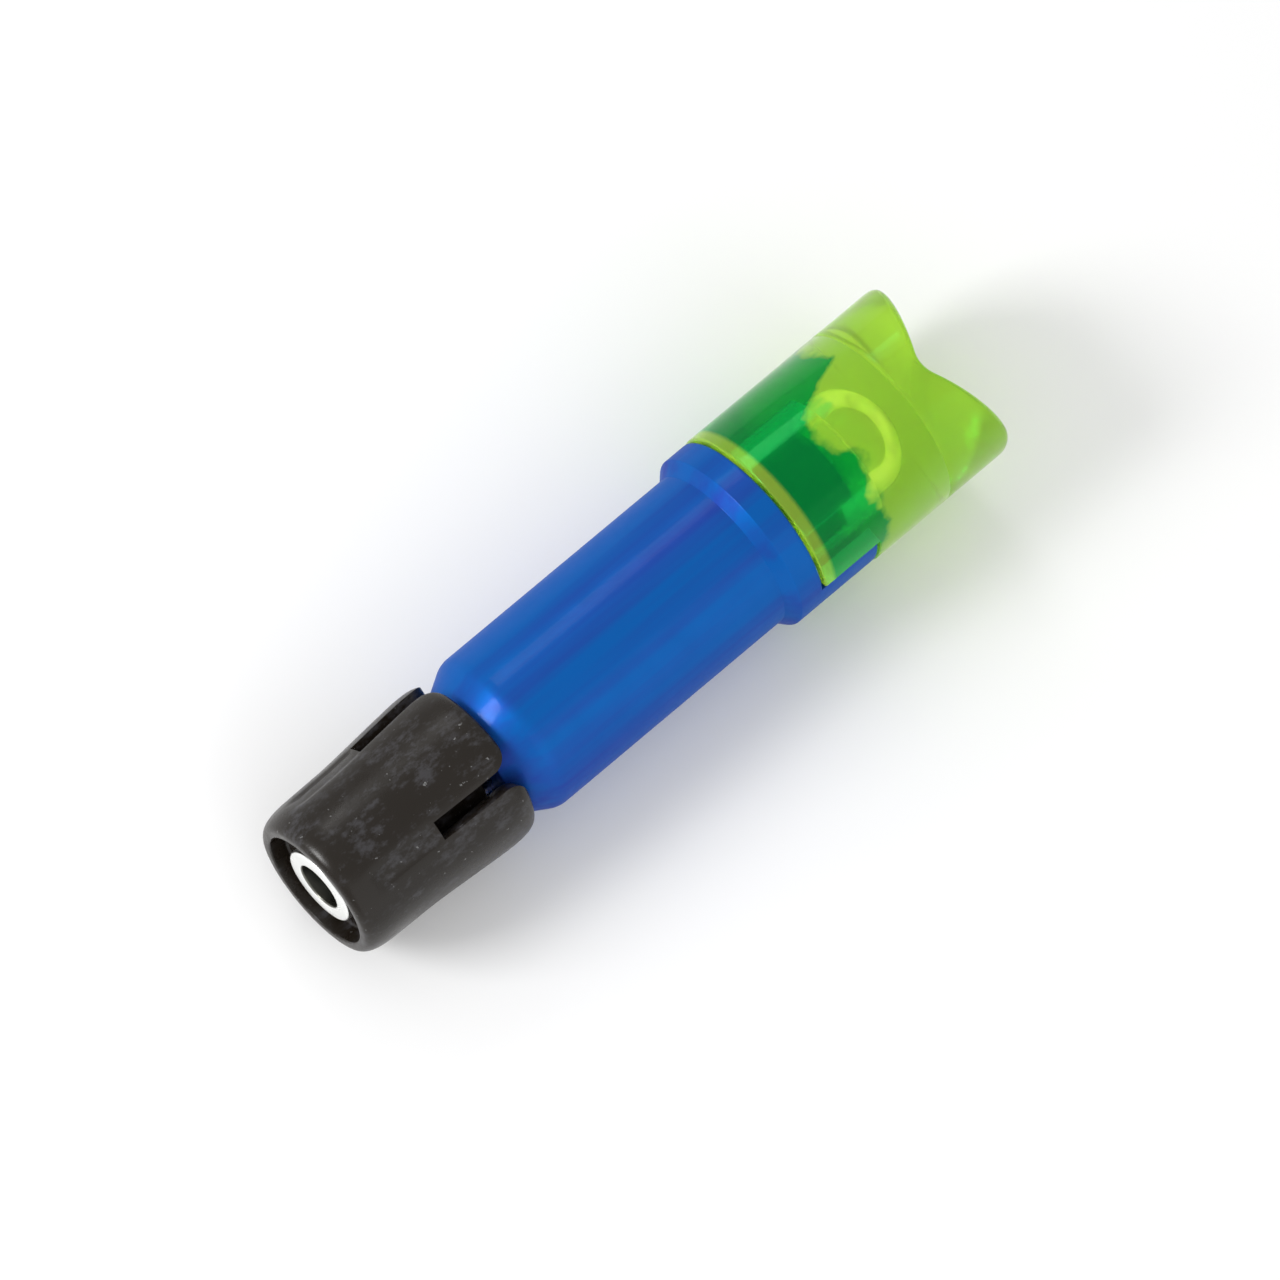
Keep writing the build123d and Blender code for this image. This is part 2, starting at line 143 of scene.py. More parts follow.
# ------------------------------------------------------------------ mesh work
def finish_mesh(
    name: str, vertices: Sequence[Sequence[float]], faces: Sequence[Sequence[int]], sharp: float = 32
) -> bpy.types.Object:
    """Make a clean, closed, smooth-shaded object from points in millimetres.

    Args:
        name: The piece's name.
        vertices: Points in millimetres.
        faces: Corner indices of each face.
        sharp: Edges that turn by more than this many degrees stay crisp.

    Returns:
        The new object, linked to the scene.
    """
    mesh = bpy.data.meshes.new(name)
    mesh.from_pydata([tuple(c * MM for c in v) for v in vertices], [], faces)
    tidy_mesh(mesh, sharp)
    piece = bpy.data.objects.new(name, mesh)
    bpy.context.scene.collection.objects.link(piece)
    return piece


def tidy_mesh(mesh: bpy.types.Mesh, sharp: float) -> None:
    """Merge doubles, drop slivers and turn every face outwards.

    Args:
        mesh: The mesh to tidy.
        sharp: Edges that turn by more than this many degrees stay crisp.
    """
    bm = bmesh.new()
    bm.from_mesh(mesh)
    bmesh.ops.remove_doubles(bm, verts=bm.verts, dist=1e-7)
    bmesh.ops.dissolve_degenerate(bm, edges=bm.edges, dist=1e-8)
    bmesh.ops.recalc_face_normals(bm, faces=bm.faces)
    bm.to_mesh(mesh)
    bm.free()
    mesh.shade_smooth()
    mesh.set_sharp_from_angle(angle=math.radians(sharp))


def swept(
    rows: Callable[[float, bool], Sequence[Point]],
    angles: Sequence[tuple[float, bool]],
    closed_rows: bool = False,
) -> tuple[list[Point], list[list[int]]]:
    """Carry an outline that may change with the angle round the X axis.

    Args:
        rows: Gives the outline for an angle from +Y towards +Z, in radians. Its second
            argument says whether the column belongs to the key's sector.
        angles: The columns, in order round the axis.
        closed_rows: True if the outline's last point joins its first.

    Returns:
        Vertices in millimetres and faces.
    """
    vertices, faces = [], []
    outlines = [rows(angle, keyed) for angle, keyed in angles]
    depth = len(outlines[0])
    for (angle, _), outline in zip(angles, outlines):
        for x, r in outline:
            vertices.append((x, r * math.cos(angle), r * math.sin(angle)))
    last = depth if closed_rows else depth - 1
    for column in range(len(angles)):
        nxt = (column + 1) % len(angles)
        for row in range(last):
            below = (row + 1) % depth
            faces.append(
                [
                    column * depth + row,
                    column * depth + below,
                    nxt * depth + below,
                    nxt * depth + row,
                ]
            )
    return vertices, faces


def columns(count: int) -> list[tuple[float, bool]]:
    """Evenly spaced columns for a plain turned piece."""
    return [(2 * math.pi * i / count, False) for i in range(count)]


def keyed_columns(count: int, half_deg: float) -> list[tuple[float, bool]]:
    """Columns round a piece with a key or keyway on its -Y side.

    Args:
        count: Columns outside the key, about.
        half_deg: Half the key's angle.

    Returns:
        The columns, with two at each side of the key, where its wall stands.
    """
    half = math.radians(half_deg)
    inside = max(int(count * half / math.pi), 6)
    plain = [
        (-math.pi + half + (2 * math.pi - 2 * half) * i / count, False) for i in range(count + 1)
    ]
    key = [(math.pi - half + 2 * half * i / inside, True) for i in range(inside + 1)]
    return plain + key


def turned(
    name: str, corners: Sequence[Corner], count: int = 96, closed: bool = True, sharp: float = 32
) -> bpy.types.Object:
    """Turn an outline about the X axis.

    Args:
        name: The piece's name.
        corners: The outline.
        count: Columns round the axis.
        closed: True for a ring, False for an outline that starts and ends on the axis.
        sharp: Edges that turn by more than this many degrees stay crisp.

    Returns:
        The new object.
    """
    outline = softened(corners, closed=closed)
    vertices, faces = swept(lambda angle, keyed: outline, columns(count), closed)
    return finish_mesh(name, vertices, faces, sharp)


# ------------------------------------------------------------------ geometry node trees
def new_tree(name: str, inputs: dict[str, tuple[str, object]]) -> bpy.types.GeometryNodeTree:
    """Start a geometry node tree with named inputs.

    Args:
        name: The tree's name.
        inputs: Each input's name, socket type and default value.

    Returns:
        The tree, with its group input and output nodes.
    """
    tree = bpy.data.node_groups.new(name, "GeometryNodeTree")
    tree.interface.new_socket("Geometry", in_out="INPUT", socket_type="NodeSocketGeometry")
    for label, (kind, value) in inputs.items():
        socket = tree.interface.new_socket(label, in_out="INPUT", socket_type=kind)
        if value is not None:
            socket.default_value = value
    tree.interface.new_socket("Geometry", in_out="OUTPUT", socket_type="NodeSocketGeometry")
    tree.nodes.new("NodeGroupInput").name = "sizes"
    tree.nodes.new("NodeGroupOutput").name = "result"
    return tree


def grown(
    piece: bpy.types.Object, tree: bpy.types.GeometryNodeTree, values: dict[str, object], sharp: float = 32
) -> bpy.types.Object:
    """Run a tree on an object and keep the result as its plain mesh.

    Args:
        piece: The object to run it on.
        tree: The geometry node tree.
        values: The tree's inputs by name.
        sharp: Edges that turn by more than this many degrees stay crisp.

    Returns:
        The same object with a plain mesh and no modifier.
    """
    modifier = piece.modifiers.new(tree.name, "NODES")
    modifier.node_group = tree
    sockets = {
        item.name: item.identifier
        for item in tree.interface.items_tree
        if item.item_type == "SOCKET" and item.in_out == "INPUT"
    }
    for label, value in values.items():
        modifier[sockets[label]] = value
    return baked(piece, sharp)


def baked(piece: bpy.types.Object, sharp: float = 32) -> bpy.types.Object:
    """Turn an object's live modifiers into its plain mesh.

    Args:
        piece: The object.
        sharp: Edges that turn by more than this many degrees stay crisp.

    Returns:
        The same object, with a plain mesh and no modifier.
    """
    evaluated = piece.evaluated_get(bpy.context.evaluated_depsgraph_get())
    mesh = bpy.data.meshes.new_from_object(evaluated)
    piece.modifiers.clear()
    old, piece.data = piece.data, mesh
    bpy.data.meshes.remove(old)
    mesh.name = piece.name
    tidy_mesh(mesh, sharp)
    return piece


def polar_tree() -> bpy.types.GeometryNodeTree:
    """A tree that repeats a sector round the X axis and welds the copies.

    Returns:
        The tree.
    """
    tree = new_tree(
        "polar_copies",
        {
            "Count": ("NodeSocketInt", 4),
            "Weld": ("NodeSocketFloat", 1e-6),
            "Material": ("NodeSocketMaterial", None),
        },
    )
    nodes, links = tree.nodes, tree.links
    sizes, result = nodes["sizes"], nodes["result"]
    line = nodes.new("GeometryNodeMeshLine")
    line.inputs["Offset"].default_value = (0, 0, 0)
    place = nodes.new("GeometryNodeInstanceOnPoints")
    index = nodes.new("GeometryNodeInputIndex")
    part = nodes.new("ShaderNodeMath")
    part.operation = "DIVIDE"
    turn = nodes.new("ShaderNodeMath")
    turn.operation = "MULTIPLY"
    turn.inputs[1].default_value = 2 * math.pi
    spin = nodes.new("ShaderNodeCombineXYZ")
    realize = nodes.new("GeometryNodeRealizeInstances")
    weld = nodes.new("GeometryNodeMergeByDistance")
    dress = nodes.new("GeometryNodeSetMaterial")
    links.new(sizes.outputs["Count"], line.inputs["Count"])
    links.new(index.outputs[0], part.inputs[0])
    links.new(sizes.outputs["Count"], part.inputs[1])
    links.new(part.outputs[0], turn.inputs[0])
    links.new(turn.outputs[0], spin.inputs["X"])
    links.new(line.outputs[0], place.inputs["Points"])
    links.new(sizes.outputs["Geometry"], place.inputs["Instance"])
    links.new(spin.outputs[0], place.inputs["Rotation"])
    links.new(place.outputs[0], realize.inputs[0])
    links.new(realize.outputs[0], weld.inputs[0])
    links.new(sizes.outputs["Weld"], weld.inputs["Distance"])
    links.new(weld.outputs[0], dress.inputs[0])
    links.new(sizes.outputs["Material"], dress.inputs["Material"])
    links.new(dress.outputs[0], result.inputs[0])
    return tree


def coil_tree() -> bpy.types.GeometryNodeTree:
    """A tree that winds a round wire into a spring along the X axis.

    Returns:
        The tree.
    """
    tree = new_tree(
        "coil_spring",
        {
            "Turns": ("NodeSocketFloat", 3.0),
            "Coil Radius": ("NodeSocketFloat", 0.001),
            "Length": ("NodeSocketFloat", 0.001),
            "Wire Radius": ("NodeSocketFloat", 0.0001),
            "Start": ("NodeSocketFloat", 0.0),
            "Material": ("NodeSocketMaterial", None),
        },
    )
    nodes, links = tree.nodes, tree.links
    sizes, result = nodes["sizes"], nodes["result"]
    spiral = nodes.new("GeometryNodeCurveSpiral")
    spiral.inputs["Resolution"].default_value = 40
    wire = nodes.new("GeometryNodeCurvePrimitiveCircle")
    wire.inputs["Resolution"].default_value = 16
    sweep = nodes.new("GeometryNodeCurveToMesh")
    sweep.inputs["Fill Caps"].default_value = True
    lay = nodes.new("GeometryNodeTransform")
    lay.inputs["Rotation"].default_value = (0, math.pi / 2, 0)
    shift = nodes.new("ShaderNodeCombineXYZ")
    realize = nodes.new("GeometryNodeRealizeInstances")
    dress = nodes.new("GeometryNodeSetMaterial")
    for label, socket in (
        ("Turns", "Rotations"),
        ("Coil Radius", "Start Radius"),
        ("Coil Radius", "End Radius"),
        ("Length", "Height"),
    ):
        links.new(sizes.outputs[label], spiral.inputs[socket])
    links.new(sizes.outputs["Wire Radius"], wire.inputs["Radius"])
    links.new(spiral.outputs[0], sweep.inputs["Curve"])
    links.new(wire.outputs[0], sweep.inputs["Profile Curve"])
    links.new(sweep.outputs[0], lay.inputs["Geometry"])
    links.new(sizes.outputs["Start"], shift.inputs["X"])
    links.new(shift.outputs[0], lay.inputs["Translation"])
    links.new(lay.outputs[0], realize.inputs[0])
    links.new(realize.outputs[0], dress.inputs[0])
    links.new(sizes.outputs["Material"], dress.inputs["Material"])
    links.new(dress.outputs[0], result.inputs[0])
    return tree


# ------------------------------------------------------------------ finishes
class Axis(Enum):
    """An axis of the row frame."""

    X = "X"
    Y = "Y"


class Paint:
    """Small helpers for one material's node tree."""

    def __init__(self, name: str) -> None:
        """Start a material with a Principled shader.

        Args:
            name: The material's name.
        """
        self.material = bpy.data.materials.new(name)
        self.material.use_nodes = True
        self.nodes = self.material.node_tree.nodes
        self.links = self.material.node_tree.links
        self.shader = self.nodes["Principled BSDF"]
        self.output = self.nodes["Material Output"]
        self.place = self.nodes.new("ShaderNodeTexCoord")

    def set(self, **values: object) -> None:
        """Set the shader's plain sockets; an underscore in a name stands for a space."""
        for label, value in values.items():
            self.shader.inputs[label.replace("_", " ")].default_value = value

    def mapped(self, scale: Sequence[float]) -> bpy.types.NodeSocket:
        """Object coordinates scaled for a pattern.

        Args:
            scale: Repeats per metre along each axis.

        Returns:
            The vector socket.
        """
        mapping = self.nodes.new("ShaderNodeMapping")
        mapping.inputs["Scale"].default_value = scale
        self.links.new(self.place.outputs["Object"], mapping.inputs["Vector"])
        return mapping.outputs[0]

    def along(self, axis: Axis) -> bpy.types.NodeSocket:
        """The place along an axis, in millimetres.

        Args:
            axis: The axis to measure along.

        Returns:
            The value socket.
        """
        split = self.nodes.new("ShaderNodeSeparateXYZ")
        self.links.new(self.mapped((1 / MM, 1 / MM, 1 / MM)), split.inputs[0])
        return split.outputs[axis.value]

    def axis_distance(self) -> bpy.types.NodeSocket:
        """The distance from the X axis, in metres.

        Returns:
            The value socket.
        """
        length = self.nodes.new("ShaderNodeVectorMath")
        length.operation = "LENGTH"
        self.links.new(self.mapped((0, 1, 1)), length.inputs[0])
        return length.outputs["Value"]

    def noise(self, scale: Sequence[float], detail: float = 3, rough: float = 0.55) -> bpy.types.NodeSocket:
        """A noise value.

        Args:
            scale: Repeats per metre along each axis.
            detail: Octaves of fine detail.
            rough: Strength of that detail.

        Returns:
            The value socket.
        """
        node = self.nodes.new("ShaderNodeTexNoise")
        node.inputs["Scale"].default_value = 1
        node.inputs["Detail"].default_value = detail
        node.inputs["Roughness"].default_value = rough
        self.links.new(self.mapped(scale), node.inputs["Vector"])
        return node.outputs[0]

    def ramp(
        self, value: bpy.types.NodeSocket, stops: Sequence[tuple[float, Colour]]
    ) -> bpy.types.NodeSocket:
        """Colours along a value.

        Args:
            value: The driving value.
            stops: Positions and colours.

        Returns:
            The colour socket.
        """
        node = self.nodes.new("ShaderNodeValToRGB")
        elements = node.color_ramp.elements
        while len(elements) < len(stops):
            elements.new(0.5)
        for element, (position, colour) in zip(elements, stops):
            element.position = position
            element.color = (*colour, 1)
        self.links.new(value, node.inputs[0])
        return node.outputs[0]

    def between(
        self, value: bpy.types.NodeSocket, low: float, high: float, to_low: float, to_high: float
    ) -> bpy.types.NodeSocket:
        """A value moved from one range to another, held at its ends.

        Args:
            value: The driving value.
            low: Where the new range starts.
            high: Where it ends.
            to_low: The result at low.
            to_high: The result at high.

        Returns:
            The value socket.
        """
        node = self.nodes.new("ShaderNodeMapRange")
        for socket, number in zip(node.inputs[1:5], (low, high, to_low, to_high)):
            socket.default_value = number
        self.links.new(value, node.inputs[0])
        return node.outputs[0]

    def math(self, operation: str, one: object, two: object) -> bpy.types.NodeSocket:
        """Arithmetic on two values.

        Args:
            operation: The node's operation, such as ADD.
            one: A socket or a number.
            two: A socket or a number.

        Returns:
            The value socket.
        """
        node = self.nodes.new("ShaderNodeMath")
        node.operation = operation
        for socket, value in zip(node.inputs, (one, two)):
            if isinstance(value, bpy.types.NodeSocket):
                self.links.new(value, socket)
            else:
                socket.default_value = value
        return node.outputs[0]

    def mix(
        self, share: bpy.types.NodeSocket, one: object, two: object
    ) -> bpy.types.NodeSocket:
        """A mix of two colours.

        Args:
            share: How much of the second colour, from 0 to 1.
            one: A socket or a colour.
            two: A socket or a colour.

        Returns:
            The colour socket.
        """
        node = self.nodes.new("ShaderNodeMix")
        node.data_type = "RGBA"
        self.links.new(share, node.inputs[0])
        for socket, value in zip(node.inputs[6:8], (one, two)):
            if isinstance(value, bpy.types.NodeSocket):
                self.links.new(value, socket)
            else:
                socket.default_value = (*value, 1)
        return node.outputs[2]

    def bump(self, height: bpy.types.NodeSocket, depth_mm: float, strength: float = 1.0) -> None:
        """Raise or sink the surface a little.

        Args:
            height: The height, from 0 to 1.
            depth_mm: What a height of 1 stands for.
            strength: How much of the effect shows.
        """
        node = self.nodes.new("ShaderNodeBump")
        node.inputs["Strength"].default_value = strength
        node.inputs["Distance"].default_value = depth_mm * MM
        before = self.shader.inputs["Normal"]
        if before.is_linked:
            self.links.new(before.links[0].from_socket, node.inputs["Normal"])
        self.links.new(height, node.inputs["Height"])
        self.links.new(node.outputs[0], before)

    def feed(self, **sockets: bpy.types.NodeSocket) -> None:
        """Drive the shader's sockets; an underscore in a name stands for a space."""
        for label, socket in sockets.items():
            self.links.new(socket, self.shader.inputs[label.replace("_", " ")])


@dataclass(frozen=True)
class AnodisedAluminium:
    """Dyed anodised aluminium with fine turning marks under a clear oxide skin, and darker streaks that are
    partly dye and partly painted reflection.
    """

    name: str = "blue_anodised_skin"
    dye: Colour = (0.003, 0.106, 0.41)
    streak_and_reflection_band: Colour = (0.016, 0.054, 0.33)
    edge: Colour = (0.10, 0.34, 0.85)
    roughness: float = 0.46
    mark_pitch_mm: float = 0.07

    def build(self) -> bpy.types.Material:
        """Make the material.

        Returns:
            The material.
        """
        paint = Paint(self.name)
        paint.set(Metallic=0.5, Specular_Tint=(*self.edge, 1), Specular_IOR_Level=0.1)
        paint.set(Coat_Weight=0.12, Coat_Roughness=0.12, Coat_IOR=1.5)
        # Base colour: random streaks along the axis between the dye and a darker blue; the darker blue is
        # partly dye streaks and partly a painted reflection of dark bands between the lights.
        dye_and_reflection_streaks = paint.noise((22, 520, 520), detail=4)
        paint.feed(Base_Color=paint.ramp(dye_and_reflection_streaks, [(0.34, self.streak_and_reflection_band), (0.56, self.dye)]))
        marks = paint.noise((1 / (self.mark_pitch_mm * MM), 90, 90), detail=2, rough=0.4)
        grime = paint.noise((900, 900, 900), detail=5)
        rough = paint.between(grime, 0.35, 0.7, self.roughness - 0.04, self.roughness + 0.08)
        paint.feed(Roughness=rough)
        paint.bump(marks, 0.0035, 0.5)
        return paint.material


@dataclass(frozen=True)
class MouldedNylon:
    """Glass filled black nylon: satin, faintly pitted and scuffed in scattered patches."""

    name: str = "black_nylon_skin"
    base: Colour = (0.0110, 0.0078, 0.0050)
    worn: Colour = (0.040, 0.038, 0.041)
    nick: Colour = (0.16, 0.16, 0.16)
    roughness: float = 0.26

    def build(self) -> bpy.types.Material:
        """Make the material.

        Returns:
            The material.
        """
        paint = Paint(self.name)
        paint.set(Specular_IOR_Level=0.30, IOR=1.5)
        pits = paint.noise((9000, 9000, 9000), detail=4)
        cloud = paint.noise((420, 700, 700), detail=6, rough=0.65)
        rough = paint.between(cloud, 0.3, 0.7, self.roughness - 0.06, self.roughness + 0.16)
        paint.feed(Roughness=rough)
        drag = paint.noise((1500, 2600, 2600), detail=6, rough=0.72)
        scuffs = paint.between(paint.math("MULTIPLY", drag, cloud), 0.26, 0.36, 0.0, 0.9)
        specks = paint.between(paint.noise((4200, 4200, 4200), detail=2), 0.70, 0.76, 0.0, 1.0)
        skin = paint.mix(scuffs, self.base, self.worn)
        paint.feed(Base_Color=paint.mix(specks, skin, self.nick))
        paint.bump(drag, 0.012, 0.35)
        paint.bump(pits, 0.008, 0.35)
        return paint.material


@dataclass(frozen=True)
class PlatedMetal:
    """A plated or bright turned metal, with painted shade inside its bore when a bore radius is given."""

    name: str
    colour: Colour
    roughness: float = 0.2
    marks_per_mm: float = 9.0
    # Inside this radius the metal takes the darker colour below: painted shade in the hole.
    shaded_bore_mm: float = 0.0
    bore_shade: Colour = (0.16, 0.16, 0.14)

    def build(self) -> bpy.types.Material:
        """Make the material.

        Returns:
            The material.
        """
        paint = Paint(self.name)
        paint.set(Metallic=1.0)
        tarnish = paint.noise((700, 700, 700), detail=4)
        shade = tuple(c * 0.82 for c in self.colour)
        colour = paint.mix(paint.between(tarnish, 0.4, 0.75, 0.0, 0.7), self.colour, shade)
        # Painted shade: inside the bore's radius the metal is painted a darker grey, standing in for shade
        # in the hole.
        if self.shaded_bore_mm:
            bore = self.shaded_bore_mm * MM
            outside = paint.between(paint.axis_distance(), bore, bore + 0.02 * MM, 0.0, 1.0)
            colour = paint.mix(outside, self.bore_shade, colour)
        paint.feed(
            Base_Color=colour,
            Roughness=paint.between(tarnish, 0.3, 0.7, self.roughness * 0.8, self.roughness * 1.5),
        )
        marks = paint.noise((self.marks_per_mm / MM, 300, 300), detail=2)
        paint.bump(marks, 0.002, 0.4)
        return paint.material


@dataclass(frozen=True)
class DyedPlastic:
    """Clear dyed plastic that tints light by how far it travels inside."""

    name: str
    absorbs: Colour
    roughness: float = 0.02
    ior: float = 1.58
    haze: float = 0.0
    gloss: float = 0.5
    shine: Colour = (1.0, 1.0, 1.0)
    glow: Colour = (0.3, 0.7, 0.1)
    shade_colour: Colour | None = None
    shade_span_mm: Point = (2.35, 5.4)
    lead_mm: Point = (1.5, 2.7)
    lead_x: float = 2.6

    def build(self) -> bpy.types.Material:
        """Make the material.

        absorbs is the share lost per metre of depth in each colour. A darker green of painted shade
        is laid by place over the part between the two places given for it, and reaches lead_x further on
        the +Y side.

        Returns:
            The material.
        """
        paint = Paint(self.name)
        paint.set(
            Base_Color=(1, 1, 1, 1),
            Transmission_Weight=1.0 - self.haze,
            IOR=self.ior,
            Specular_IOR_Level=self.gloss,
            Specular_Tint=(*self.shine, 1),
        )
        # Painted shade: a darker green laid by place along X over the part round the stem's bore, further
        # forward on the +Y side.
        if self.shade_colour:
            cloud = paint.noise((420, 560, 560), detail=5)
            back_x, front_x = self.shade_span_mm
            place = paint.along(Axis.X)
            back = paint.between(place, back_x - 0.1, back_x + 0.1, 0.0, 1.0)
            place = paint.math("ADD", place, paint.between(cloud, 0.3, 0.7, -0.7, 0.7))
            lead = paint.between(paint.along(Axis.Y), *self.lead_mm, 0.0, self.lead_x)
            front = paint.between(
                paint.math("SUBTRACT", place, lead), front_x - 0.25, front_x + 0.25, 1.0, 0.0
            )
            share = paint.math("MULTIPLY", back, front)
            paint.feed(Base_Color=paint.mix(share, self.glow, self.shade_colour))
        elif self.haze:
            paint.set(Base_Color=(*self.glow, 1))
        soft = paint.noise((500, 500, 500), detail=4)
        paint.feed(Roughness=paint.between(soft, 0.35, 0.7, self.roughness, self.roughness * 3))
        ripple = paint.noise((260, 380, 380), detail=2)
        paint.bump(ripple, 0.03, 0.25)
        density = max(self.absorbs)
        volume = paint.nodes.new("ShaderNodeVolumeAbsorption")
        volume.inputs["Color"].default_value = (*(1 - a / density for a in self.absorbs), 1)
        volume.inputs["Density"].default_value = density
        paint.links.new(volume.outputs[0], paint.output.inputs["Volume"])
        return paint.material


@dataclass(frozen=True)
class PlainPlastic:
    """A small hidden plastic or rubber piece, faintly mottled."""

    name: str
    colour: Colour
    roughness: float = 0.5

    def build(self) -> bpy.types.Material:
        """Make the material.

        Returns:
            The material.
        """
        paint = Paint(self.name)
        cloud = paint.noise((1500, 1500, 1500), detail=4)
        light = tuple(min(c * 1.25 + 0.004, 1) for c in self.colour)
        paint.feed(
            Base_Color=paint.mix(cloud, self.colour, light),
            Roughness=paint.between(cloud, 0.3, 0.7, self.roughness * 0.85, self.roughness * 1.15),
        )
        paint.bump(cloud, 0.01, 0.3)
        return paint.material


@dataclass
class Finishes:
    """Every finish on the object, made once."""

    anodised: bpy.types.Material = field(default_factory=lambda: AnodisedAluminium().build())
    nylon: bpy.types.Material = field(default_factory=lambda: MouldedNylon().build())
    # The tail bush's bore is painted darker inside 1.10 mm: painted shade.
    nickel: bpy.types.Material = field(
        default_factory=lambda: PlatedMetal(
            "nickel_skin", (0.97, 0.98, 0.96), 0.26, shaded_bore_mm=1.10
        ).build()
    )
    green: bpy.types.Material = field(
        default_factory=lambda: DyedPlastic(
            "green_clear_plastic",
            (26.0, 4.0, 60.0),
            0.05,
            1.5,
            haze=0.25,
            gloss=0.12,
            shine=(0.10, 0.80, 0.25),
            glow=(0.70, 1.0, 0.105),
            # The darker green laid over the stem's hollow part is painted shade.
            shade_colour=(0.0004, 0.44, 0.09),
        ).build()
    )
    epoxy: bpy.types.Material = field(
        default_factory=lambda: DyedPlastic("lamp_epoxy", (30.0, 10.0, 40.0), 0.05, 1.52).build()
    )
    lead: bpy.types.Material = field(
        default_factory=lambda: PlatedMetal("tinned_lead_skin", (0.72, 0.72, 0.70), 0.28).build()
    )
    brass: bpy.types.Material = field(
        default_factory=lambda: PlatedMetal("contact_brass_skin", (0.80, 0.60, 0.28), 0.22).build()
    )
    steel: bpy.types.Material = field(
        default_factory=lambda: PlatedMetal("drawn_steel_skin", (0.60, 0.61, 0.62), 0.25).build()
    )
    holder: bpy.types.Material = field(
        default_factory=lambda: PlainPlastic("holder_skin", (0.02, 0.02, 0.02), 0.4).build()
    )
    rubber: bpy.types.Material = field(
        default_factory=lambda: PlainPlastic("ring_rubber_skin", (0.012, 0.012, 0.012), 0.6).build()
    )
    gasket: bpy.types.Material = field(
        default_factory=lambda: PlainPlastic("gasket_skin", (0.05, 0.07, 0.16), 0.45).build()
    )
    film: bpy.types.Material = field(
        default_factory=lambda: PlainPlastic("sleeve_film_skin", (0.75, 0.73, 0.68), 0.35).build()
    )
    die: bpy.types.Material = field(
        default_factory=lambda: PlainPlastic("lamp_die_skin", (0.85, 0.80, 0.25), 0.4).build()
    )


def dress(piece: bpy.types.Object, material: bpy.types.Material) -> None:
    """Give a piece one material."""
    piece.data.materials.clear()
    piece.data.materials.append(material)


def stand_in(piece: bpy.types.Object, node: str, body: str) -> None:
    """Put a finished piece in a CAD node's place.

    Args:
        piece: The finished piece.
        node: The CAD node that it replaces.
        body: The body that it rides on.
    """
    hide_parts(node)
    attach(piece, body)
    log.info("%s: %d faces on %s", piece.name, len(piece.data.polygons), body)


